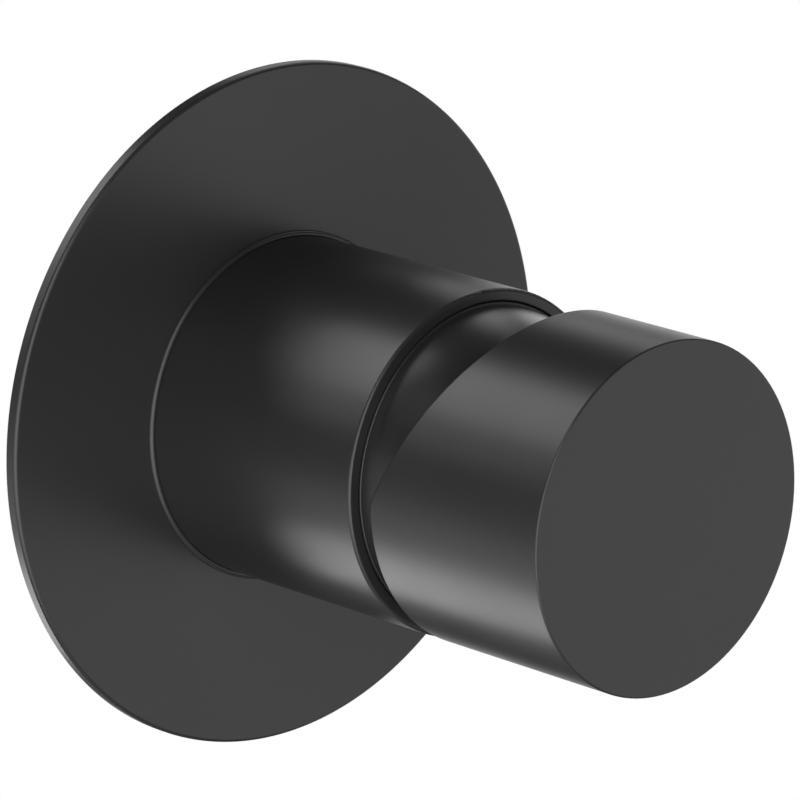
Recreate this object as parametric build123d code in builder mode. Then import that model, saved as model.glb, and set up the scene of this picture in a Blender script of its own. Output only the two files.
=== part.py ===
from build123d import *
import os
from math import acos, cos, radians, sin, sqrt, tan

# Concealed shower mixer with one round handle, in millimetres.
# The finished wall is the plane y = 0, and the origin is where the mixer's axis meets it.
# The mixer comes out of the wall along -Y, and +Z is up. Most pieces are turned about
# that axis, so their profiles are drawn as (radius, distance out of the wall).

# Wall plate
plate_radius = 55.0
plate_thickness = 2.0
plate_rim_rounding = 0.6
lip_height = 0.7
lip_width = 0.7
lip_rounding = 0.6
plate_recess = 0.8
plate_recess_rim = 2.0
collar_wall = 3.2
collar_depth = 5.0

# Sleeve
sleeve_radius = 27.4
sleeve_wall = 2.0
sleeve_end = 47.4
sleeve_tail = 4.0
sleeve_outer_rounding = 0.5
sleeve_inner_rounding = 0.3

# Handle
handle_radius = 27.4
handle_back = 51.8
handle_front = 87.6
wedge_angle = 25.9
wedge_start = 0.2
handle_front_rounding = 0.3
handle_back_rounding = 0.35
crease_rounding = 4.0
socket_floor = 80.0

# Movement
pivot_out = 45.5
tilt_range = 25.0
turn_range = 40.0

# Ball-shaped cap
cap_gap = 0.4
cap_wall = 1.8
cap_band_proud = 0.2
cap_band_width = 4.0
cap_band_rounding = 0.25
cap_opening_play = 1.2

# Cartridge
cartridge_radius = 17.4
shell_wall = 1.7
neck_wall = 2.0
neck_above_pivot = 2.5
shoulder_below_pivot = 7.5
cavity_below_pivot = 11.5
lever_length = 13.5
ball_radius = 3.2
pocket_clearance = 0.2
stem_width = 8.0
stem_below_pivot = 4.4
stem_chamfer = 0.7
stem_shank_radius = 2.2
stem_end_gap = 1.0
turret_radius = 10.5
turret_lip = 0.5
turret_flange_radius = 15.0
turret_flange_thickness = 2.0
pin_radius = 1.5
pin_end_gap = 0.3
carrier_radius = 12.3
carrier_plate = 5.0
carrier_web = 5.6
carrier_boss_radius = 6.0
carrier_boss_reach = 1.8
rail_width = 3.0
rail_place = 9.0
disc_thickness = 4.0
base_height = 7.0
base_flange = 3.0
port_circle_radius = 10.5
port_radius = 3.6
mixed_port_inset = 0.9
mixed_port_width = 6.1
mixed_port_angle = 56.0
seal_width = 1.4
seal_height = 1.0
peg_radius = 1.5
peg_length = 2.5
peg_place = (13.0, 3.0)
chamber_radius = 6.2
chamber_lobe_radius = 5.4
chamber_lobe_place = 7.6
chamber_depth = 2.4

# Nut and limit ring
nut_step = 1.5
nut_height = 4.5
nut_slots = 6
nut_slot_width = 3.0
nut_slot_depth = 1.5
ring_gap = 0.5
limit_ring_radius = 17.0
limit_ring_height = 3.0
limit_ring_notches = 20
notch_radius = 0.8

# Function block in the wall
barrel_clearance = 0.8
barrel_shoulder = 28.0
sleeve_step = 0.6
flange_front = 6.0
flange_thickness = 6.0
flange_radius = 38.5
block_radius = 22.5
block_depth = 20.0
screw_circle_radius = 32.0
screw_count = 4
screw_radius = 2.5
screw_shank_radius = 2.1
screw_head_radius = 4.8
screw_head_angle = 90.0
screw_length = 12.0
screw_socket_width = 3.0
screw_socket_depth = 2.2

# Nipples at the back
spigot_circle_radius = 13.0
spigot_thread_radius = 7.4
spigot_thread_length = 12.0
spigot_hexagon = 15.0
spigot_hexagon_thickness = 3.5
spigot_radius = 6.5
spigot_length = 12.5
spigot_chamfer = 0.6
spigot_bore = 4.0
spigot_ring_place = 5.5
spigot_ring_width = 1.8
spigot_ring_proud = 0.1
strainer_radius = 5.0
strainer_depth = 3.0
strainer_sheet = 0.8
strainer_hole_radius = 0.55
strainer_pitch = 1.9
strainer_rows = 3

# Rubber rings and foam
sleeve_ring_width = 2.0
sleeve_ring_places = (5.0, 21.0)
plate_ring_width = 1.6
groove_play = 0.3
gasket_play = 0.3

# Screw and plug in the handle
grub_place = 74.5
grub_radius = 2.5
grub_length = 9.0
grub_socket_width = 2.5
grub_socket_depth = 3.0
plug_radius = 3.3
plug_height = 3.0

# Fits
running_clearance = 0.08
thread_clearance = 0.05
seat_clearance = 0.1
ring_clearance = 0.02

# Radii that follow from the sizes above
sleeve_bore = sleeve_radius - sleeve_wall
plate_bore = sleeve_radius + seat_clearance
seat_shoulder_radius = sleeve_radius - sleeve_step
cap_radius = sleeve_bore - cap_gap
cavity_radius = cap_radius + cap_gap
cap_band_radius = sleeve_bore - seat_clearance
shell_bore = cartridge_radius - shell_wall
turret_bore = turret_radius + running_clearance
neck_radius = turret_bore + neck_wall
cartridge_bore = cartridge_radius + seat_clearance
nut_radius = cartridge_radius + nut_step
barrel_neck_radius = (nut_radius + cap_radius) / 2
barrel_radius = sleeve_bore - barrel_clearance

# Distances out of the wall that follow from the pivot, from the front to the back
turret_top = pivot_out + neck_above_pivot + turret_lip
neck_top = pivot_out + neck_above_pivot
shoulder = pivot_out - shoulder_below_pivot
nut_top = shoulder + nut_height
cavity_top = pivot_out - cavity_below_pivot
flange_bottom = cavity_top - turret_flange_thickness
ball_out = pivot_out - lever_length
pocket_floor = ball_out - ball_radius - pocket_clearance
carrier_bottom = pocket_floor - carrier_web
fixed_disc_top = carrier_bottom - disc_thickness
base_top = fixed_disc_top - disc_thickness
seat = base_top - base_height

# The carrier slides this far while the handle tilts, and rests half of it off centre.
carrier_travel = lever_length * sin(radians(tilt_range))
disc_offset = carrier_travel / 2

# Where the stem's parts are at full tilt
tilted_ball_out = pivot_out - lever_length * cos(radians(tilt_range))
tilted_heel_out = (
    pivot_out
    - stem_below_pivot * cos(radians(tilt_range))
    + stem_width / 2 * sin(radians(tilt_range))
)
tilted_heel_reach = (
    stem_below_pivot * sin(radians(tilt_range)) + stem_width / 2 * cos(radians(tilt_range))
)

# The turned pieces share one half section and one axis.
centre_line = Axis((0, 0, 0), (0, -1, 0))
half_section = Plane(origin=(0, 0, 0), x_dir=(1, 0, 0), z_dir=(0, 0, -1))
side_view = Plane(origin=(0, 0, 0), x_dir=(0, -1, 0), z_dir=(-1, 0, 0))


def out_of_wall(distance):
    # A plane parallel to the wall that faces the room, with X to the right and Z up.
    return Plane(origin=(0, -distance, 0), x_dir=(1, 0, 0), z_dir=(0, -1, 0))


def under_handle(height):
    # A level plane that faces down, with its origin in line with the grub screw.
    return Plane(origin=(0, -grub_place, height), x_dir=(1, 0, 0), z_dir=(0, 0, -1))


def turned(points):
    # A solid of revolution from a closed outline of straight runs.
    with BuildPart() as piece:
        with BuildSketch(half_section):
            with BuildLine():
                Polyline(*points, close=True)
            make_face()
        revolve(axis=centre_line)
    return piece


def ring(inner, outer, low, high):
    # A plain ring of square section.
    return turned([(inner, low), (outer, low), (outer, high), (inner, high)])


def round_ring(inner, outer, middle):
    # A ring of round section, such as an O-ring in its groove.
    with BuildPart() as piece:
        with BuildSketch(half_section):
            with Locations(((inner + outer) / 2, middle)):
                Circle((outer - inner) / 2)
        revolve(axis=centre_line)
    return piece


def polar(radius, angle):
    return (radius * cos(radians(angle)), radius * sin(radians(angle)))


def write(piece, name):
    piece.part.label = name
    export_step(piece.part, f"parts/{name}.step")


os.makedirs("parts", exist_ok=True)

# Hot water is on the left, cold on the right, and the mixed water leaves at the top.
hot_angle, cold_angle, mixed_angle = 225, 315, 90
port_angles = (hot_angle, cold_angle, mixed_angle)
ports = [polar(port_circle_radius, angle) for angle in port_angles]
spigots = [polar(spigot_circle_radius, angle) for angle in port_angles]
pegs = [peg_place, (-peg_place[0], peg_place[1])]

# Wall plate: a thin disc with a rounded rim, a small lip around the bore and a collar behind it
plate_groove_floor = sleeve_radius + plate_ring_width
plate_ring_out = -collar_depth / 2
plate_groove_half = plate_ring_width / 2 + groove_play
with BuildPart() as wall_plate:
    with BuildSketch(half_section):
        with BuildLine():
            Polyline(
                (plate_bore, plate_thickness + lip_height),
                (plate_bore + lip_width, plate_thickness + lip_height),
                (plate_bore + lip_width, plate_thickness),
                (plate_radius, plate_thickness),
                (plate_radius, 0),
                (plate_radius - plate_recess_rim, 0),
                (plate_radius - plate_recess_rim, plate_recess),
                (plate_bore + collar_wall, plate_recess),
                (plate_bore + collar_wall, -collar_depth),
                (plate_bore, -collar_depth),
                (plate_bore, plate_ring_out - plate_groove_half),
                (plate_groove_floor, plate_ring_out - plate_groove_half),
                (plate_groove_floor, plate_ring_out + plate_groove_half),
                (plate_bore, plate_ring_out + plate_groove_half),
                close=True,
            )
        make_face()
    revolve(axis=centre_line)
    circles = wall_plate.edges().filter_by(GeomType.CIRCLE)
    fillet(circles.group_by(SortBy.RADIUS)[-1].sort_by(Axis.Y)[0], plate_rim_rounding)
    circles = wall_plate.edges().filter_by(GeomType.CIRCLE)
    fillet(circles.group_by(Axis.Y)[0].sort_by(SortBy.RADIUS)[-1], lip_rounding)
write(wall_plate, "wall_plate")

plate_ring = round_ring(
    sleeve_radius + ring_clearance, plate_groove_floor - ring_clearance, plate_ring_out
)
write(plate_ring, "plate_ring")

# Foam ring that fills the recess behind the plate
wall_gasket = ring(
    plate_bore + collar_wall + gasket_play,
    plate_radius - plate_recess_rim - gasket_play,
    0,
    plate_recess,
)
write(wall_gasket, "wall_gasket")

# Sleeve: a plain tube that slides over the barrel and through the plate
with BuildPart() as sleeve:
    with BuildSketch(out_of_wall(-sleeve_tail)):
        Circle(sleeve_radius)
        Circle(sleeve_bore, mode=Mode.SUBTRACT)
    extrude(amount=sleeve_tail + sleeve_end)
    end_edges = sleeve.edges().filter_by(GeomType.CIRCLE).group_by(Axis.Y)[0]
    fillet(end_edges.sort_by(SortBy.RADIUS)[-1], sleeve_outer_rounding)
    end_edges = sleeve.edges().filter_by(GeomType.CIRCLE).group_by(Axis.Y)[0]
    fillet(end_edges.sort_by(SortBy.RADIUS)[0], sleeve_inner_rounding)
write(sleeve, "sleeve")

# Function block: flange and barrel in one brass turning, with three channels
sleeve_groove_floor = sleeve_bore - sleeve_ring_width
sleeve_groove_half = sleeve_ring_width / 2 + groove_play
barrel_outline = [(barrel_radius, -sleeve_tail)]
for place in sleeve_ring_places:
    barrel_outline += [
        (barrel_radius, place - sleeve_groove_half),
        (sleeve_groove_floor, place - sleeve_groove_half),
        (sleeve_groove_floor, place + sleeve_groove_half),
        (barrel_radius, place + sleeve_groove_half),
    ]
function_block = turned(
    [
        (0, seat),
        (0, -block_depth),
        (block_radius, -block_depth),
        (block_radius, -flange_front - flange_thickness),
        (flange_radius, -flange_front - flange_thickness),
        (flange_radius, -flange_front),
        (seat_shoulder_radius, -flange_front),
        (seat_shoulder_radius, -sleeve_tail),
    ]
    + barrel_outline
    + [
        (barrel_radius, barrel_shoulder),
        (barrel_neck_radius, barrel_shoulder),
        (barrel_neck_radius, nut_top),
        (nut_radius + thread_clearance, nut_top),
        (nut_radius + thread_clearance, shoulder - nut_step),
        (cartridge_bore, shoulder - nut_step),
        (cartridge_bore, seat),
    ]
)
with function_block:
    with Locations(out_of_wall(seat)):
        with Locations(*ports):
            Hole(port_radius, depth=seat + block_depth - spigot_thread_length)
        with Locations(*pegs):
            Hole(peg_radius + seat_clearance, depth=peg_length + seat_clearance)
    with Locations(out_of_wall(-block_depth).location * Rotation(180, 0, 0)):
        with Locations(*[(x, -z) for x, z in spigots]):
            Hole(spigot_thread_radius, depth=spigot_thread_length)
    with Locations(out_of_wall(-flange_front)):
        with PolarLocations(screw_circle_radius, screw_count, start_angle=45):
            CounterSinkHole(
                screw_radius + seat_clearance,
                screw_head_radius + seat_clearance,
                depth=flange_thickness,
                counter_sink_angle=screw_head_angle,
            )
write(function_block, "function_block")

# Countersunk screws that hold the flange to the box in the wall: a thin shank inside the
# flange, and the thread behind it
screw_head_height = (screw_head_radius - screw_shank_radius) / tan(radians(screw_head_angle / 2))
on_base = (Align.CENTER, Align.CENTER, Align.MIN)
with BuildPart() as fixing_screws:
    with Locations(out_of_wall(-flange_front - screw_length)):
        with PolarLocations(screw_circle_radius, screw_count, start_angle=45):
            Cylinder(screw_radius, screw_length - flange_thickness, align=on_base)
    with Locations(out_of_wall(-flange_front - flange_thickness)):
        with PolarLocations(screw_circle_radius, screw_count, start_angle=45):
            Cylinder(screw_shank_radius, flange_thickness, align=on_base)
    with Locations(out_of_wall(-flange_front - screw_head_height)):
        with PolarLocations(screw_circle_radius, screw_count, start_angle=45):
            Cone(screw_shank_radius, screw_head_radius, screw_head_height, align=on_base)
    with BuildSketch(out_of_wall(-flange_front)):
        with PolarLocations(screw_circle_radius, screw_count, start_angle=45):
            RegularPolygon(screw_socket_width / 2, 6, major_radius=False)
    extrude(amount=-screw_socket_depth, mode=Mode.SUBTRACT)
write(fixing_screws, "fixing_screws")

with BuildPart() as sleeve_rings:
    for place in sleeve_ring_places:
        with BuildSketch(half_section):
            with Locations(((sleeve_groove_floor + sleeve_bore) / 2, place)):
                Circle(sleeve_ring_width / 2 - ring_clearance)
        revolve(axis=centre_line)
write(sleeve_rings, "sleeve_rings")

# Nipples: thread, hexagon and a nose with an O-ring, bored right through
nose_start = -block_depth - spigot_hexagon_thickness
nose_end = nose_start - spigot_length
spigot_ring_out = nose_start - spigot_ring_place
spigot_groove_floor = spigot_radius + spigot_ring_proud - spigot_ring_width


def nipple(place, with_strainer):
    x, z = place
    groove_half = spigot_ring_width / 2 + groove_play
    with BuildPart() as piece:
        with BuildSketch(out_of_wall(-block_depth)):
            with Locations((x, z)):
                Circle(spigot_thread_radius - thread_clearance)
        extrude(amount=spigot_thread_length - seat_clearance)
        with BuildSketch(out_of_wall(nose_start)):
            with Locations((x, z)):
                RegularPolygon(spigot_hexagon / 2, 6, major_radius=False)
        extrude(amount=spigot_hexagon_thickness)
        with BuildSketch(out_of_wall(nose_end)):
            with Locations((x, z)):
                Circle(spigot_radius)
        extrude(amount=spigot_length)
        chamfer(piece.edges().group_by(Axis.Y)[-1], spigot_chamfer)
        with BuildSketch(out_of_wall(spigot_ring_out - groove_half)):
            with Locations((x, z)):
                Circle(spigot_radius)
                Circle(spigot_groove_floor, mode=Mode.SUBTRACT)
        extrude(amount=2 * groove_half, mode=Mode.SUBTRACT)
        with Locations((x, -nose_end, z)):
            with Locations(Rotation(-90, 0, 0)):
                Hole(spigot_bore)
        if with_strainer:
            with BuildSketch(out_of_wall(nose_end)):
                with Locations((x, z)):
                    Circle(strainer_radius)
            extrude(amount=strainer_depth, mode=Mode.SUBTRACT)
    return piece


write(nipple(spigots[0], True), "hot_spigot")
write(nipple(spigots[1], True), "cold_spigot")
write(nipple(spigots[2], False), "mixed_spigot")

ring_radius = spigot_radius + spigot_ring_proud - spigot_ring_width / 2
with BuildPart() as spigot_rings:
    for x, z in spigots:
        with BuildSketch(Plane(origin=(x, 0, z), x_dir=(1, 0, 0), z_dir=(0, 0, -1))):
            with Locations((ring_radius, spigot_ring_out)):
                Circle(spigot_ring_width / 2 - ring_clearance)
        revolve(axis=Axis((x, 0, z), (0, -1, 0)))
write(spigot_rings, "spigot_rings")

# Strainers: a cup with a perforated floor in the mouth of each inlet nipple
with BuildPart() as strainers:
    for x, z in spigots[:2]:
        with BuildSketch(out_of_wall(nose_end)):
            with Locations((x, z)):
                Circle(strainer_radius - seat_clearance)
        extrude(amount=strainer_depth - seat_clearance)
        with BuildSketch(out_of_wall(nose_end)):
            with Locations((x, z)):
                Circle(spigot_bore)
        extrude(amount=strainer_depth - seat_clearance - strainer_sheet, mode=Mode.SUBTRACT)
        with BuildSketch(out_of_wall(nose_end)):
            with Locations((x, z)):
                with HexLocations(strainer_pitch / 2, strainer_rows, strainer_rows):
                    Circle(strainer_hole_radius)
        extrude(amount=strainer_depth, mode=Mode.SUBTRACT)
write(strainers, "strainers")

# Cartridge floor: three ports, with a pocket for a rubber ring below and above each
with BuildPart() as cartridge_base:
    with BuildSketch(out_of_wall(seat)):
        Circle(cartridge_radius)
    extrude(amount=base_flange)
    with BuildSketch(out_of_wall(seat)):
        Circle(shell_bore - seat_clearance)
    extrude(amount=base_height)
    with BuildSketch(out_of_wall(seat)):
        with Locations(*pegs):
            Circle(peg_radius)
    extrude(amount=-peg_length)
    with BuildSketch(out_of_wall(seat)):
        with Locations(*ports):
            Circle(port_radius)
    extrude(amount=base_height, mode=Mode.SUBTRACT)
    with BuildSketch(out_of_wall(seat)):
        with Locations(*ports):
            Circle(port_radius + seal_width)
    extrude(amount=seal_height, mode=Mode.SUBTRACT)
    with BuildSketch(out_of_wall(base_top)):
        with Locations(*ports):
            Circle(port_radius + seal_width)
    extrude(amount=-seal_height, mode=Mode.SUBTRACT)
write(cartridge_base, "cartridge_base")

for name, level in (("base_seals", seat), ("disc_seals", base_top - seal_height)):
    with BuildPart() as seals:
        with BuildSketch(out_of_wall(level)):
            with Locations(*ports):
                Circle(port_radius + seal_width - ring_clearance)
                Circle(port_radius, mode=Mode.SUBTRACT)
        extrude(amount=seal_height)
    write(seals, name)

# Fixed ceramic disc: round hot and cold ports, and a curved port for the mixed water
mixed_port_arc = CenterArc(
    (0, 0),
    port_circle_radius - mixed_port_inset,
    mixed_angle - mixed_port_angle / 2,
    mixed_port_angle,
)
with BuildPart() as fixed_disc:
    with BuildSketch(out_of_wall(base_top)):
        Circle(shell_bore - seat_clearance)
        with Locations(*ports[:2]):
            Circle(port_radius, mode=Mode.SUBTRACT)
        SlotArc(mixed_port_arc, mixed_port_width, mode=Mode.SUBTRACT)
    extrude(amount=disc_thickness)
write(fixed_disc, "fixed_disc")

# Moving ceramic disc: a blind chamber in its underside joins the ports as it slides
with BuildPart() as moving_disc:
    with BuildSketch(out_of_wall(fixed_disc_top)):
        with Locations((0, disc_offset)):
            Circle(carrier_radius)
    extrude(amount=disc_thickness)
    with BuildSketch(out_of_wall(fixed_disc_top)):
        Circle(chamber_radius)
        with Locations((0, chamber_lobe_place)):
            Circle(chamber_lobe_radius)
        make_hull()
    extrude(amount=chamber_depth, mode=Mode.SUBTRACT)
write(moving_disc, "moving_disc")

# Carrier: holds the moving disc, with a pocket for the stem's ball and two rails
rail_top = flange_bottom - running_clearance
with BuildPart() as disc_carrier:
    with BuildSketch(out_of_wall(carrier_bottom)):
        with Locations((0, disc_offset)):
            Circle(carrier_radius)
    extrude(amount=carrier_plate)
    with BuildSketch(out_of_wall(carrier_bottom)):
        Circle(carrier_boss_radius)
    extrude(amount=ball_out + carrier_boss_reach - carrier_bottom)
    with BuildSketch(out_of_wall(carrier_bottom)):
        with Locations((rail_place, disc_offset), (-rail_place, disc_offset)):
            Rectangle(rail_width, carrier_radius)
    extrude(amount=rail_top - carrier_bottom)
    with BuildSketch(out_of_wall(pocket_floor)):
        Circle(ball_radius + pocket_clearance)
    extrude(amount=carrier_boss_radius + ball_radius, mode=Mode.SUBTRACT)
write(disc_carrier, "disc_carrier")

# Cartridge shell: a can with a neck for the turret
cartridge_housing = turned(
    [
        (shell_bore, seat + base_flange),
        (cartridge_radius, seat + base_flange),
        (cartridge_radius, shoulder),
        (neck_radius, shoulder),
        (neck_radius, neck_top),
        (turret_bore, neck_top),
        (turret_bore, cavity_top),
        (shell_bore, cavity_top),
    ]
)
write(cartridge_housing, "cartridge_housing")

# Turret: turns in the neck, with a slot that leaves the stem and its ball room to tilt
slot_half = stem_width / 2 + 2 * running_clearance
stem_half = stem_width / 2 / cos(radians(tilt_range)) + 2 * pocket_clearance
sweep = tan(radians(tilt_range))
shank_reach = (pivot_out - flange_bottom) * sweep + stem_shank_radius + 2 * pocket_clearance
ball_room = ball_radius + pocket_clearance
boss_room = carrier_boss_radius + pocket_clearance
with BuildPart() as turret:
    with BuildSketch(half_section):
        with BuildLine():
            Polyline(
                (0, flange_bottom),
                (turret_flange_radius, flange_bottom),
                (turret_flange_radius, cavity_top - running_clearance),
                (turret_radius, cavity_top - running_clearance),
                (turret_radius, turret_top),
                (0, turret_top),
                close=True,
            )
        make_face()
    revolve(axis=centre_line)
    with BuildSketch(side_view):
        with BuildLine():
            Polyline(
                (turret_top, -stem_half),
                (tilted_heel_out, -tilted_heel_reach - pocket_clearance),
                (flange_bottom, -shank_reach),
                (flange_bottom, stem_half),
                (pivot_out, stem_half),
                (turret_top, stem_half + (turret_top - pivot_out) * sweep),
                close=True,
            )
        make_face()
    extrude(amount=slot_half, both=True, mode=Mode.SUBTRACT)
    with BuildSketch(out_of_wall(flange_bottom)):
        with Locations((0, 0), (0, -carrier_travel)):
            Circle(ball_room)
        make_hull()
    extrude(amount=tilted_ball_out + ball_room - flange_bottom, mode=Mode.SUBTRACT)
    with BuildSketch(out_of_wall(flange_bottom)):
        with Locations((0, 0), (0, -carrier_travel)):
            Circle(boss_room)
        make_hull()
    extrude(amount=turret_flange_thickness, mode=Mode.SUBTRACT)
    with Locations((0, -pivot_out, 0)):
        with Locations(Rotation(0, 90, 0)):
            Hole(pin_radius + ring_clearance)
write(turret, "turret")

with BuildPart() as pivot_pin:
    with BuildSketch(Plane(origin=(0, -pivot_out, 0), x_dir=(0, 0, 1), z_dir=(1, 0, 0))):
        Circle(pin_radius)
    extrude(amount=turret_radius - pin_end_gap, both=True)
write(pivot_pin, "pivot_pin")

# Stem: square where the handle sits, a thin shank below the pivot, and a ball at its end
stem_top = socket_floor - stem_end_gap
shank_top = pivot_out - stem_below_pivot
with BuildPart() as cartridge_stem:
    with BuildSketch(out_of_wall(shank_top)):
        Rectangle(stem_width, stem_width)
    extrude(amount=stem_top - shank_top)
    chamfer(cartridge_stem.faces().sort_by(Axis.Y)[0].edges(), stem_chamfer)
    with BuildSketch(out_of_wall(ball_out)):
        Circle(stem_shank_radius)
    extrude(amount=shank_top - ball_out)
    with Locations((0, -ball_out, 0)):
        Sphere(ball_radius)
    with Locations((0, -pivot_out, 0)):
        with Locations(Rotation(0, 90, 0)):
            Hole(pin_radius + running_clearance)
write(cartridge_stem, "cartridge_stem")

# Nut: screwed into the barrel's mouth, with slots for a pin spanner
with BuildPart() as retaining_nut:
    with BuildSketch(out_of_wall(shoulder)):
        Circle(nut_radius)
        Circle(neck_radius + ring_gap, mode=Mode.SUBTRACT)
    extrude(amount=nut_height)
    with BuildSketch(out_of_wall(nut_top)):
        with PolarLocations(nut_radius, nut_slots):
            Rectangle(2 * nut_slot_depth + nut_step, nut_slot_width)
    extrude(amount=-nut_slot_depth, mode=Mode.SUBTRACT)
write(retaining_nut, "retaining_nut")

# Limit ring: notched ring around the neck, on top of the nut
with BuildPart() as limit_ring:
    with BuildSketch(out_of_wall(nut_top)):
        Circle(limit_ring_radius)
        Circle(neck_radius + seat_clearance, mode=Mode.SUBTRACT)
        with PolarLocations(limit_ring_radius, limit_ring_notches):
            Circle(notch_radius, mode=Mode.SUBTRACT)
    extrude(amount=limit_ring_height)
write(limit_ring, "limit_ring")

# Cap: a skirt screwed on the barrel's end, a band that centres the sleeve's end, and a ball
# around the pivot that is open for the stem
cap_bore = cap_radius - cap_wall
reach = acos(
    sin(radians(tilt_range)) * cos(radians(turn_range)) * sin(radians(tilt_range / 2))
    + cos(radians(tilt_range)) * cos(radians(tilt_range / 2))
)
cap_opening = cap_radius * sin(reach) + stem_width / sqrt(2) + cap_opening_play
with BuildPart() as dome_cap:
    with BuildSketch(half_section):
        with BuildLine():
            Polyline(
                (0, pivot_out + cap_bore),
                (0, pivot_out + cap_radius),
            )
            CenterArc((0, pivot_out), cap_radius, 90, -90)
            Polyline(
                (cap_radius, pivot_out),
                (cap_radius, barrel_shoulder),
                (barrel_neck_radius + thread_clearance, barrel_shoulder),
                (barrel_neck_radius + thread_clearance, nut_top),
                (cap_bore, nut_top),
                (cap_bore, pivot_out),
            )
            CenterArc((0, pivot_out), cap_bore, 0, 90)
        make_face()
    revolve(axis=centre_line)
    with BuildSketch(out_of_wall(sleeve_end + cap_band_proud)):
        Circle(cap_band_radius)
        Circle(cap_radius - cap_wall / 2, mode=Mode.SUBTRACT)
    extrude(amount=-cap_band_width)
    band_edges = dome_cap.edges().filter_by(GeomType.CIRCLE).group_by(SortBy.RADIUS)[-1]
    fillet(band_edges.sort_by(Axis.Y)[0], cap_band_rounding)
    lift = tilt_range / 2
    with BuildSketch(
        Plane(
            origin=(0, -pivot_out, 0),
            x_dir=(1, 0, 0),
            z_dir=(0, -cos(radians(lift)), sin(radians(lift))),
        )
    ):
        Circle(cap_opening)
    extrude(amount=2 * cap_radius, mode=Mode.SUBTRACT)
write(dome_cap, "dome_cap")

# Handle: a cylinder with a wedge off the upper half of its back and a ball-shaped hollow
blank_back = handle_back - crease_rounding
wedge_rise = 2 * handle_radius
with BuildPart() as handle:
    with BuildSketch(out_of_wall(blank_back)):
        Circle(handle_radius)
    extrude(amount=handle_front - blank_back)
    fillet(handle.edges().group_by(Axis.Y)[0], handle_front_rounding)
    with BuildSketch(side_view) as back_cut:
        with BuildLine():
            Polyline(
                (blank_back, -wedge_rise),
                (handle_back, -wedge_rise),
                (handle_back, wedge_start),
                (handle_back + wedge_rise * tan(radians(wedge_angle)), wedge_start + wedge_rise),
                (blank_back, wedge_start + wedge_rise),
                close=True,
            )
        make_face()
        crease = back_cut.vertices().sort_by_distance((handle_back, wedge_start, 0))[0]
        fillet(crease, crease_rounding)
    extrude(amount=wedge_rise, both=True, mode=Mode.SUBTRACT)
    back_edges = handle.edges().filter_by(lambda edge: edge.center().Y > -socket_floor)
    fillet(back_edges - back_edges.filter_by(GeomType.LINE), handle_back_rounding)
    with Locations((0, -pivot_out, 0)):
        Sphere(cavity_radius, mode=Mode.SUBTRACT)
    with BuildSketch(out_of_wall(pivot_out)):
        Rectangle(stem_width + 2 * thread_clearance, stem_width + 2 * thread_clearance)
    extrude(amount=socket_floor - pivot_out, mode=Mode.SUBTRACT)
    with BuildSketch(under_handle(0)):
        Circle(grub_radius)
    extrude(amount=handle_radius, mode=Mode.SUBTRACT)
    with BuildSketch(under_handle(plug_height - handle_radius)):
        Circle(plug_radius)
    extrude(amount=plug_height, mode=Mode.SUBTRACT)
write(handle, "handle")

# Grub screw: bears on the underside of the stem
with BuildPart() as grub_screw:
    grub_tip = -stem_width / 2 - ring_clearance
    with BuildSketch(under_handle(grub_tip)):
        Circle(grub_radius - thread_clearance)
    extrude(amount=grub_length)
    with BuildSketch(under_handle(grub_tip - grub_length)):
        RegularPolygon(grub_socket_width / 2, 6, major_radius=False)
    extrude(amount=-grub_socket_depth, mode=Mode.SUBTRACT)
write(grub_screw, "grub_screw")

# Plug over the grub screw, flush with the round of the handle
with BuildPart() as screw_plug:
    with BuildSketch(under_handle(plug_height - handle_radius)):
        Circle(plug_radius - thread_clearance)
    extrude(amount=plug_height)
    with BuildSketch(out_of_wall(grub_place - 2 * plug_radius)):
        Circle(handle_radius)
    extrude(amount=4 * plug_radius, mode=Mode.INTERSECT)
write(screw_plug, "screw_plug")
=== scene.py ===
import math

import bmesh
import bpy
from mathutils import Matrix, Vector


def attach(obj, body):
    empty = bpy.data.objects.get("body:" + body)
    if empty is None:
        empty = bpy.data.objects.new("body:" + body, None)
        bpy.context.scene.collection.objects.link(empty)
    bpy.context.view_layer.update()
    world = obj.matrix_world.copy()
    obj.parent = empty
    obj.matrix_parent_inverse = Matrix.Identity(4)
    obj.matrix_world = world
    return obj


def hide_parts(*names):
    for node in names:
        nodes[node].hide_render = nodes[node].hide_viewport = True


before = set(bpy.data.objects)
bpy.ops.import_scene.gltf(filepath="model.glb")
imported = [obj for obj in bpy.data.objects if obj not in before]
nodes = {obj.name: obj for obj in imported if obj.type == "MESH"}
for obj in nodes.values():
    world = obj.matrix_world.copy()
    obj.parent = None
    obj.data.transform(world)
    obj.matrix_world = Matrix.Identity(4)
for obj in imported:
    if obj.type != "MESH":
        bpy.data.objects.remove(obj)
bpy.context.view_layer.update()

mm = 0.001
scene = bpy.context.scene
scene.view_settings.view_transform = "Standard"
print("frame loaded:", len(nodes), "pieces")


def linear(hexColour):
    # sRGB hex to linear, as the shader wants it
    steps = [int(hexColour[i:i + 2], 16) / 255 for i in (1, 3, 5)]
    return tuple(s / 12.92 if s <= 0.04045 else ((s + 0.055) / 1.055) ** 2.4 for s in steps)


def rgba(hexColour):
    return (*linear(hexColour), 1)


def addNode(tree, kind, settings=None, links=None):
    # one node: settings are its properties or its sockets' values, links are its sockets' sources
    node = tree.nodes.new(kind)
    for key, value in (settings or {}).items():
        if isinstance(key, str) and hasattr(node, key):
            setattr(node, key, value)
        else:
            node.inputs[key].default_value = value
    for key, source in (links or {}).items():
        tree.links.new(source, node.inputs[key])
    return node


def emptyMaterial(name):
    material = bpy.data.materials.new(name)
    material.use_nodes = True
    material.node_tree.nodes.clear()
    return material, material.node_tree


def finish(piece, material):
    # one material on every slot of a piece
    slots = piece.data.materials
    slots.clear()
    slots.append(material)


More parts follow.
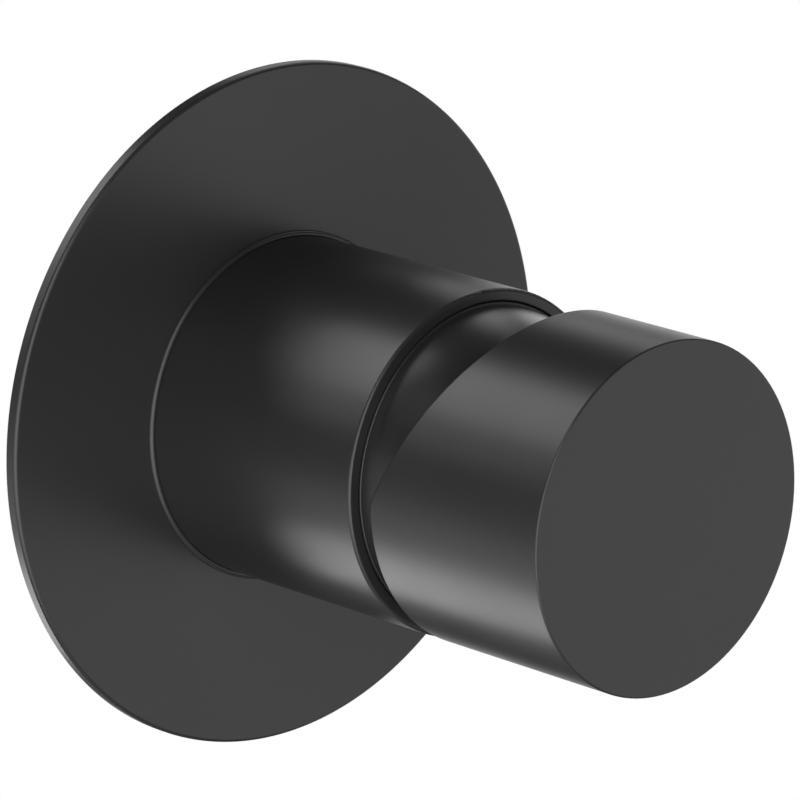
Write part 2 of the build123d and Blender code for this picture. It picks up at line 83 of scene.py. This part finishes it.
def smoothMesh(shape, name, sharpFrom):
    # a mesh that looks smooth, apart from edges that bend more than the angle
    bmesh.ops.recalc_face_normals(shape, faces=shape.faces)
    mesh = bpy.data.meshes.new(name)
    shape.to_mesh(mesh)
    shape.free()
    mesh.polygons.foreach_set("use_smooth", [True] * len(mesh.polygons))
    mesh.set_sharp_from_angle(angle=math.radians(sharpFrom))
    return mesh


def direction(azimuth, rise):
    # in degrees: azimuth runs from +Y, straight into the wall, towards +X
    a, e = math.radians(azimuth), math.radians(rise)
    return Vector((math.sin(a) * math.cos(e), math.cos(a) * math.cos(e), math.sin(e)))


# Camera. The photograph's view was solved from the outlines of plate, sleeve and handle. The
# place and the clipping distances are in metres, the lens and sensor in mm.
view = {
    "place": (-0.61943, -0.69550, 0.26422),
    "looksAlong": (0.65507, 0.70467, -0.27263),
    "up": (0.18741, 0.19812, 0.96209),
    "lens": 274.5,
    "sensor": 36.0,
    "near": 0.05,
    "far": 60,
}
cameraData = bpy.data.cameras.new("camera")
cameraData.lens = view["lens"]
cameraData.sensor_width = view["sensor"]
cameraData.clip_start = view["near"]
cameraData.clip_end = view["far"]
camera = bpy.data.objects.new("camera", cameraData)
scene.collection.objects.link(camera)
ahead = Vector(view["looksAlong"]).normalized()
side = ahead.cross(Vector(view["up"])).normalized()
turn = Matrix((side, side.cross(ahead), -ahead)).transposed().to_4x4()
camera.matrix_world = Matrix.Translation(view["place"]) @ turn
scene.camera = camera
print("camera placed")


# Room. It is white at the heights where the camera looks past the object, and dark above and
# below, so that satin black mirrors little of it. It gives only a little light: the lamps do that.
room = {
    "colour": "#ffffff",
    "fill": 0.03,             # what the room gives as light
    "ceiling": 0.02,          # brightness of the room high above and far below
    "whiteFrom": -30,         # the room is white between these rises, in degrees
    "whiteTo": 1,
    "fadeDown": 6,            # degrees over which it darkens below and above that
    "fadeUp": 16,
    "cardAzimuth": -45,       # a grey card, which the left flanks of sleeve and handle mirror
    "cardRise": 1,
    "cardInner": 7,           # grey up to this many degrees from its middle, then it fades out
    "cardOuter": 20,
    "cardShade": 0.16,
}


def buildRoom(look):
    world = bpy.data.worlds.new("white room")
    scene.world = world
    world.use_nodes = True
    tree = world.node_tree
    tree.nodes.clear()
    place = addNode(tree, "ShaderNodeTexCoord")
    split = addNode(tree, "ShaderNodeSeparateXYZ", None, {0: place.outputs["Generated"]})
    height = addNode(tree, "ShaderNodeMath", {"operation": "ARCSINE"}, {0: split.outputs["Z"]})
    above = addNode(
        tree, "ShaderNodeMapRange",
        {
            "interpolation_type": "SMOOTHSTEP",
            "From Min": math.radians(look["whiteTo"]),
            "From Max": math.radians(look["whiteTo"] + look["fadeUp"]),
            "To Min": 1.0, "To Max": look["ceiling"],
        },
        {"Value": height.outputs[0]},
    )
    below = addNode(
        tree, "ShaderNodeMapRange",
        {
            "interpolation_type": "SMOOTHSTEP",
            "From Min": math.radians(look["whiteFrom"] - look["fadeDown"]),
            "From Max": math.radians(look["whiteFrom"]),
            "To Min": look["ceiling"], "To Max": 1.0,
        },
        {"Value": height.outputs[0]},
    )
    band = addNode(
        tree, "ShaderNodeMath", {"operation": "MULTIPLY"},
        {0: above.outputs[0], 1: below.outputs[0]},
    )
    towardsCard = addNode(
        tree, "ShaderNodeVectorMath",
        {"operation": "DOT_PRODUCT", 1: direction(look["cardAzimuth"], look["cardRise"])},
        {0: place.outputs["Generated"]},
    )
    card = addNode(
        tree, "ShaderNodeMapRange",
        {
            "interpolation_type": "SMOOTHSTEP",
            "From Min": math.cos(math.radians(look["cardOuter"])),
            "From Max": math.cos(math.radians(look["cardInner"])),
            "To Min": 1.0, "To Max": look["cardShade"],
        },
        {"Value": towardsCard.outputs["Value"]},
    )
    shown = addNode(
        tree, "ShaderNodeMath", {"operation": "MULTIPLY"},
        {0: band.outputs[0], 1: card.outputs[0]},
    )
    fill = addNode(
        tree, "ShaderNodeBackground",
        {"Color": rgba(look["colour"]), "Strength": look["fill"]},
    )
    backdrop = addNode(
        tree, "ShaderNodeBackground", {"Color": rgba(look["colour"])},
        {"Strength": shown.outputs[0]},
    )
    # the camera, mirrors and glass see the backdrop, everything else gets the fill
    path = addNode(tree, "ShaderNodeLightPath")
    seen = addNode(
        tree, "ShaderNodeMath", {"operation": "MAXIMUM"},
        {0: path.outputs["Is Camera Ray"], 1: path.outputs["Is Glossy Ray"]},
    )
    seen = addNode(
        tree, "ShaderNodeMath", {"operation": "MAXIMUM"},
        {0: seen.outputs[0], 1: path.outputs["Is Transmission Ray"]},
    )
    both = addNode(
        tree, "ShaderNodeMixShader", None,
        {0: seen.outputs[0], 1: fill.outputs[0], 2: backdrop.outputs[0]},
    )
    addNode(tree, "ShaderNodeOutputWorld", None, {"Surface": both.outputs[0]})


buildRoom(room)
print("room built")


# Lamps. Two softboxes in front on the left light the plate and the handle's face. The small ones
# behind show as the soft highlights, because a cylinder seen from the side mirrors what is behind
# it, and those at the sides give such highlights to the views from there.
softboxes = {
    # name: azimuth, rise, distance, (width, height), radiance
    "key": (-141, -11, 1.5, (2.1, 2.7), 2.3),
    "keyHigh": (-133, 36, 1.25, (0.95, 0.6), 2.6),
    "highLeft": (-23, 40, 0.9, (0.62, 0.40), 3.3),
    "highLeftTop": (-28, 61, 0.9, (0.34, 0.30), 2.0),
    "left": (-40, 22, 0.95, (0.3, 0.3), 1.6),
    "lowLeft": (-18, -42, 0.9, (0.48, 0.34), 3.95),
    "lowLeftOut": (-44, -42, 0.9, (0.36, 0.34), 1.0),
    "lowFar": (-8, -60, 0.9, (0.6, 0.3), 0.35),
    "right": (42, 24, 1.0, (0.28, 0.28), 0.9),
    "rightHigh": (53, 38, 1.0, (0.28, 0.28), 1.8),
    "rightTop": (60, 50, 1.0, (0.28, 0.28), 1.6),
    "rightOut": (66, 16, 1.1, (0.36, 0.60), 2.4),
    "sideLeft": (-88, 48, 1.2, (0.5, 0.7), 0.5),
    "sideLeftLow": (-95, -35, 1.2, (0.5, 0.7), 1.1),
    "sideRight": (92, 42, 1.2, (0.5, 0.9), 1.2),
    "sideRightLow": (95, -35, 1.2, (0.5, 0.7), 0.8),
}
for name, (azimuth, rise, distance, (width, tall), radiance) in softboxes.items():
    lampData = bpy.data.lights.new(name, "AREA")
    lampData.shape = "ELLIPSE"
    lampData.size, lampData.size_y = width, tall
    area = math.pi * width * tall / 4
    lampData.energy = radiance * math.pi * area       # the watts of an even lamp that bright
    lamp = bpy.data.objects.new(name, lampData)
    scene.collection.objects.link(lamp)
    towards = direction(azimuth, rise)
    lamp.location = towards * distance
    lamp.rotation_mode = "QUATERNION"
    lamp.rotation_quaternion = towards.to_track_quat("Z", "Y")
    lamp.visible_camera = False
print("lamps placed:", len(softboxes))


# Floor. It lies well below, as the mixer hangs on a wall. Lengths are in metres.
ground = {"drop": 1.5, "radius": 0.8, "sides": 96, "colour": "#ecebe8", "roughness": 0.7}
shape = bmesh.new()
bmesh.ops.create_circle(shape, cap_ends=True, segments=ground["sides"], radius=ground["radius"])
bmesh.ops.translate(shape, vec=(0, 0, -ground["drop"]), verts=shape.verts)
floorMesh = bpy.data.meshes.new("floor")
shape.to_mesh(floorMesh)
shape.free()
floor = bpy.data.objects.new("floor", floorMesh)
scene.collection.objects.link(floor)
floorMaterial, tree = emptyMaterial("pale floor")
surface = addNode(
    tree, "ShaderNodeBsdfPrincipled",
    {"Base Color": rgba(ground["colour"]), "Roughness": ground["roughness"]},
)
addNode(tree, "ShaderNodeOutputMaterial", None, {"Surface": surface.outputs[0]})
floorMesh.materials.append(floorMaterial)
print("floor laid")


# Most of a noise texture's values lie between these two.
noiseLow, noiseHigh = 0.3, 0.7


def dressSurface(tree, look, tintBy, glossBy, reliefBy, settings):
    # what every finish here shares: two close tones, an uneven gloss and a fine relief
    tint = addNode(
        tree, "ShaderNodeMix",
        {"data_type": "RGBA", "A": rgba(look["colour"]), "B": rgba(look["secondColour"])},
        {"Factor": tintBy.outputs["Fac"]},
    )
    gloss = addNode(
        tree, "ShaderNodeMapRange",
        {
            "From Min": noiseLow, "From Max": noiseHigh,
            "To Min": look["roughness"] - look["spread"],
            "To Max": look["roughness"] + look["spread"],
        },
        {"Value": glossBy.outputs["Fac"]},
    )
    relief = addNode(
        tree, "ShaderNodeBump",
        {"Strength": look["bump"], "Distance": look["reliefMm"] * mm},
        {"Height": reliefBy.outputs["Fac"]},
    )
    surface = addNode(
        tree, "ShaderNodeBsdfPrincipled", settings,
        {
            "Base Color": tint.outputs["Result"],
            "Roughness": gloss.outputs[0],
            "Normal": relief.outputs[0],
        },
    )
    addNode(tree, "ShaderNodeOutputMaterial", None, {"Surface": surface.outputs[0]})


# Powder coat. The metal is sprayed with polyester powder and baked: black all the way round, with
# a broad soft gloss and a grain just fine enough to blur what it mirrors.
coat = {
    "colour": "#232324", "secondColour": "#29292a",
    "grainMm": 0.35,          # real powder grain is about 0.1 mm, drawn coarser so that it shows
    "grainDetail": 2.0, "grainRoughness": 0.55,
    "cloudMm": 14.0,          # the gloss drifts over about this length
    "cloudDetail": 3.0,
    "roughness": 0.33, "spread": 0.015,
    "bump": 0.12, "reliefMm": 0.02,
    "ior": 1.45, "specular": 0.5,
}


def powderCoat(name, look):
    material, tree = emptyMaterial(name)
    place = addNode(tree, "ShaderNodeTexCoord")
    grain = addNode(
        tree, "ShaderNodeTexNoise",
        {
            "Scale": 1 / (look["grainMm"] * mm),
            "Detail": look["grainDetail"],
            "Roughness": look["grainRoughness"],
        },
        {"Vector": place.outputs["Object"]},
    )
    cloud = addNode(
        tree, "ShaderNodeTexNoise",
        {"Scale": 1 / (look["cloudMm"] * mm), "Detail": look["cloudDetail"]},
        {"Vector": place.outputs["Object"]},
    )
    settings = {"Metallic": 0.0, "IOR": look["ior"], "Specular IOR Level": look["specular"]}
    dressSurface(tree, look, grain, cloud, grain, settings)
    return material


blackCoat = powderCoat("matt black powder coat", coat)
# the plug is plastic in the same matt black
for name in ("sleeve", "dome_cap", "handle", "screw_plug"):
    finish(nodes[name], blackCoat)
print("black pieces coated")


# Wall plate. The CAD's plate again, with the same section but more divisions round it, so that
# its thin rim draws one clean line. Lengths are in mm, and distances run out of the wall.
plate = {
    "radius": 55.0, "thickness": 2.0, "rimRounding": 0.6,
    "bore": 27.5, "lipWidth": 0.7, "lipHeight": 0.7, "lipRounding": 0.6,
    "recess": 0.8, "recessRim": 2.0,
    "collarRadius": 30.7, "collarDepth": 5.0,
    "grooveRadius": 29.0, "grooveFrom": 1.4, "grooveTo": 3.6,
    "divisions": 360, "steps": 12,
    "beside": 0.06,           # a ring this near a rounding keeps the flat faces flat to the eye
    "sharpFrom": 35,          # degrees
}


def quarterRound(radius, out, rounding, steps):
    # points of an outer corner's rounding, from its front to its side
    turns = [math.pi / 2 * i / steps for i in range(steps + 1)]
    return [
        (radius - rounding * (1 - math.sin(t)), out - rounding * (1 - math.cos(t)))
        for t in turns
    ]


def plateSection(look):
    # (radius, distance) of each corner, once round the section
    lipOut = look["thickness"] + look["lipHeight"]
    lipRadius = look["bore"] + look["lipWidth"]
    rimInside = look["radius"] - look["rimRounding"]
    rimBehind = look["thickness"] - look["rimRounding"]
    return [
        (look["bore"], lipOut),
        *quarterRound(lipRadius, lipOut, look["lipRounding"], look["steps"]),
        (lipRadius, look["thickness"]),
        (rimInside - look["beside"], look["thickness"]),
        *quarterRound(look["radius"], look["thickness"], look["rimRounding"], look["steps"]),
        (look["radius"], rimBehind - look["beside"]),
        (look["radius"], 0),
        (look["radius"] - look["recessRim"], 0),
        (look["radius"] - look["recessRim"], look["recess"]),
        (look["collarRadius"], look["recess"]),
        (look["collarRadius"], -look["collarDepth"]),
        (look["bore"], -look["collarDepth"]),
        (look["bore"], -look["grooveTo"]),
        (look["grooveRadius"], -look["grooveTo"]),
        (look["grooveRadius"], -look["grooveFrom"]),
        (look["bore"], -look["grooveFrom"]),
    ]


def buildPlate(look):
    section = plateSection(look)
    shape = bmesh.new()
    loops = []
    for n in range(look["divisions"]):
        turn = 2 * math.pi * n / look["divisions"]
        points = [
            (r * math.cos(turn) * mm, -out * mm, r * math.sin(turn) * mm) for r, out in section
        ]
        loops.append([shape.verts.new(point) for point in points])
    for n in range(look["divisions"]):
        near, far = loops[n - 1], loops[n]
        for i in range(len(section)):
            shape.faces.new((near[i - 1], near[i], far[i], far[i - 1]))
    return smoothMesh(shape, "turned_plate", look["sharpFrom"])


turnedPlate = bpy.data.objects.new("turned_plate", buildPlate(plate))
scene.collection.objects.link(turnedPlate)
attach(turnedPlate, "fixed")
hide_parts("wall_plate")
finish(turnedPlate, blackCoat)
print("wall plate turned:", len(turnedPlate.data.polygons), "faces")


# Turned metal. A lathe leaves fine rings round the axis, which stretch the highlights, and the
# bare metal is a little darker in patches.
brassLook = {
    "colour": "#d9b978", "secondColour": "#b98f4e",
    "ringMm": 0.35,           # real tool marks are about 0.1 mm apart, drawn coarser to show
    "ringDetail": 2.0,
    "stainMm": 9.0, "stainDetail": 4.0,
    "roughness": 0.30, "spread": 0.06,
    "bump": 0.25, "reliefMm": 0.02,
}
steelLook = {
    "colour": "#b9b9ba", "secondColour": "#a2a2a5",
    "ringMm": 0.3,            # drawn coarser, as on the brass
    "ringDetail": 2.0,
    "stainMm": 6.0, "stainDetail": 4.0,
    "roughness": 0.26, "spread": 0.05,
    "bump": 0.2, "reliefMm": 0.02,
}


def turnedMetal(name, look):
    material, tree = emptyMaterial(name)
    place = addNode(tree, "ShaderNodeTexCoord")
    split = addNode(tree, "ShaderNodeSeparateXYZ", None, {0: place.outputs["Object"]})
    line = addNode(tree, "ShaderNodeCombineXYZ", None, {"X": split.outputs["Y"]})
    rings = addNode(
        tree, "ShaderNodeTexNoise",
        {"Scale": 1 / (look["ringMm"] * mm), "Detail": look["ringDetail"]},
        {"Vector": line.outputs[0]},
    )
    stain = addNode(
        tree, "ShaderNodeTexNoise",
        {"Scale": 1 / (look["stainMm"] * mm), "Detail": look["stainDetail"]},
        {"Vector": place.outputs["Object"]},
    )
    dressSurface(tree, look, stain, rings, rings, {"Metallic": 1.0})
    return material


brass = turnedMetal("turned brass", brassLook)
steel = turnedMetal("turned stainless steel", steelLook)
brassPieces = (
    "function_block", "hot_spigot", "cold_spigot", "mixed_spigot", "retaining_nut",
    "cartridge_stem",
)
for name in brassPieces:
    finish(nodes[name], brass)
# the strainers are punched from sheet of the same steel
for name in ("pivot_pin", "grub_screw", "strainers"):
    finish(nodes[name], steel)
print("metal pieces finished")


# Fixing screws. Cold-headed stainless steel with a rolled M5 thread, whose ridges and head edges
# the CAD leaves out. Lengths are in mm, and distances run from the wall's face into it.
screws = {
    "circle": 32.0, "count": 4, "firstAngle": 45,
    "headOut": 6.0, "headRadius": 4.8, "headEdge": 0.1,
    "shankRadius": 2.1, "threadFrom": 12.0, "threadTo": 18.0,
    "crest": 2.5, "depth": 0.49, "pitch": 0.8,
    "rootShare": 0.12,        # the low part of each ridge that is cut off to a flat root
    "flankShare": 0.75,       # the part above it that slopes, up to a flat crest
    "runOut": 0.5,            # the ridges grow to full height over this length
    "tipShare": 0.2,          # of that height, left at the tip
    "socket": 3.0, "socketDepth": 2.2, "socketEdge": 0.12,
    "around": 36, "perPitch": 10,
    "sharpFrom": 50,          # degrees
}


def screwRings(look):
    # (distance, radius at each angle), from the socket's floor over the head to the tip
    turns = [2 * math.pi * i / look["around"] for i in range(look["around"])]
    sixth = math.pi / 3
    hexagon = [
        look["socket"] / 2 / math.cos((t + sixth / 2) % sixth - sixth / 2) for t in turns
    ]
    top, edge = look["headOut"], look["headEdge"]
    coneEnd = top + look["headRadius"] - look["shankRadius"]
    rings = [
        (top + look["socketDepth"], hexagon),
        (top + look["socketEdge"], hexagon),
        (top, [r + look["socketEdge"] for r in hexagon]),
        (top, [look["headRadius"] - 2 * edge for _ in turns]),
        (top + edge, [look["headRadius"] - edge for _ in turns]),
        (coneEnd, [look["shankRadius"] for _ in turns]),
    ]
    length = look["threadTo"] - look["threadFrom"]
    root = look["crest"] - look["depth"]
    steps = round(length / look["pitch"] * look["perPitch"])
    for i in range(steps + 1):
        along = length * i / steps
        left = length - along
        full = min(1, along / look["runOut"], left / look["runOut"] + look["tipShare"])
        radii = []
        for t in turns:
            phase = (along / look["pitch"] - t / (2 * math.pi)) % 1
            rise = 1 - abs(2 * phase - 1)
            ridge = min(1, max(0, (rise - look["rootShare"]) / look["flankShare"]))
            radii.append(root + look["depth"] * ridge * full)
        rings.append((look["threadFrom"] + along, radii))
    return turns, rings


def buildScrews(look):
    turns, rings = screwRings(look)
    shape = bmesh.new()
    for n in range(look["count"]):
        place = math.radians(look["firstAngle"] + 360 * n / look["count"])
        x, z = look["circle"] * math.cos(place), look["circle"] * math.sin(place)
        loops = []
        for y, radii in rings:
            points = [
                ((x + r * math.cos(t)) * mm, y * mm, (z + r * math.sin(t)) * mm)
                for t, r in zip(turns, radii)
            ]
            loops.append([shape.verts.new(point) for point in points])
        for near, far in zip(loops, loops[1:]):
            for i in range(len(turns)):
                shape.faces.new((near[i - 1], near[i], far[i], far[i - 1]))
        shape.faces.new(loops[0])
        shape.faces.new(loops[-1])
    return smoothMesh(shape, "threaded_screws", look["sharpFrom"])


threadedScrews = bpy.data.objects.new("threaded_screws", buildScrews(screws))
scene.collection.objects.link(threadedScrews)
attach(threadedScrews, "fixed")
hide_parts("fixing_screws")
finish(threadedScrews, steel)
print("screws threaded:", len(threadedScrews.data.polygons), "faces")


# Moulded and pressed pieces. The grain that a mould or lapping leaves is finer than 0.1 mm and is
# drawn coarser so that it shows, and the foam's cells are drawn about as large as they are.
mouldings = {
    # pressed in a hot mould: a dull black with a weak sheen
    "moulded nitrile rubber": {
        "pieces": ("plate_ring", "sleeve_rings", "spigot_rings", "base_seals", "disc_seals"),
        "colour": "#161616", "secondColour": "#1e1e1e", "grainMm": 0.5,
        "roughness": 0.55, "spread": 0.06, "bump": 0.2, "reliefMm": 0.02, "ior": 1.52,
    },
    # cut from foamed sheet: the cells that the cut opens leave it matt and a little rough
    "closed-cell foam": {
        "pieces": ("wall_gasket",),
        "colour": "#3b3b3c", "secondColour": "#575758", "grainMm": 0.8,
        "roughness": 0.9, "spread": 0.05, "bump": 0.7, "reliefMm": 0.12, "ior": 1.45,
    },
    # injection moulded: smooth, with a soft waxy gloss
    "white acetal": {
        "pieces": ("cartridge_housing", "cartridge_base"),
        "colour": "#e6e5e0", "secondColour": "#dedcd5", "grainMm": 1.2,
        "roughness": 0.38, "spread": 0.05, "bump": 0.1, "reliefMm": 0.02, "ior": 1.48,
    },
    # injection moulded: the glass fibres leave a fine dull mottle
    "grey glass-filled nylon": {
        "pieces": ("turret", "disc_carrier"),
        "colour": "#6a6c70", "secondColour": "#5d5f63", "grainMm": 0.6,
        "roughness": 0.5, "spread": 0.06, "bump": 0.2, "reliefMm": 0.02, "ior": 1.53,
    },
    # injection moulded and coloured through: as waxy as the white
    "red acetal": {
        "pieces": ("limit_ring",),
        "colour": "#b3251f", "secondColour": "#a8211c", "grainMm": 1.0,
        "roughness": 0.4, "spread": 0.05, "bump": 0.1, "reliefMm": 0.02, "ior": 1.48,
    },
    # pressed, fired and lapped flat: ivory white with a hard bright gloss
    "lapped alumina": {
        "pieces": ("fixed_disc", "moving_disc"),
        "colour": "#efece4", "secondColour": "#e6e2d8", "grainMm": 2.0,
        "roughness": 0.18, "spread": 0.04, "bump": 0.04, "reliefMm": 0.01, "ior": 1.76,
    },
}
mouldedDetail = 3.0


def moulded(name, look):
    material, tree = emptyMaterial(name)
    place = addNode(tree, "ShaderNodeTexCoord")
    grain = addNode(
        tree, "ShaderNodeTexNoise",
        {"Scale": 1 / (look["grainMm"] * mm), "Detail": mouldedDetail},
        {"Vector": place.outputs["Object"]},
    )
    dressSurface(tree, look, grain, grain, grain, {"IOR": look["ior"]})
    return material


for name, look in mouldings.items():
    material = moulded(name, look)
    for piece in look["pieces"]:
        finish(nodes[piece], material)
print("moulded pieces finished")
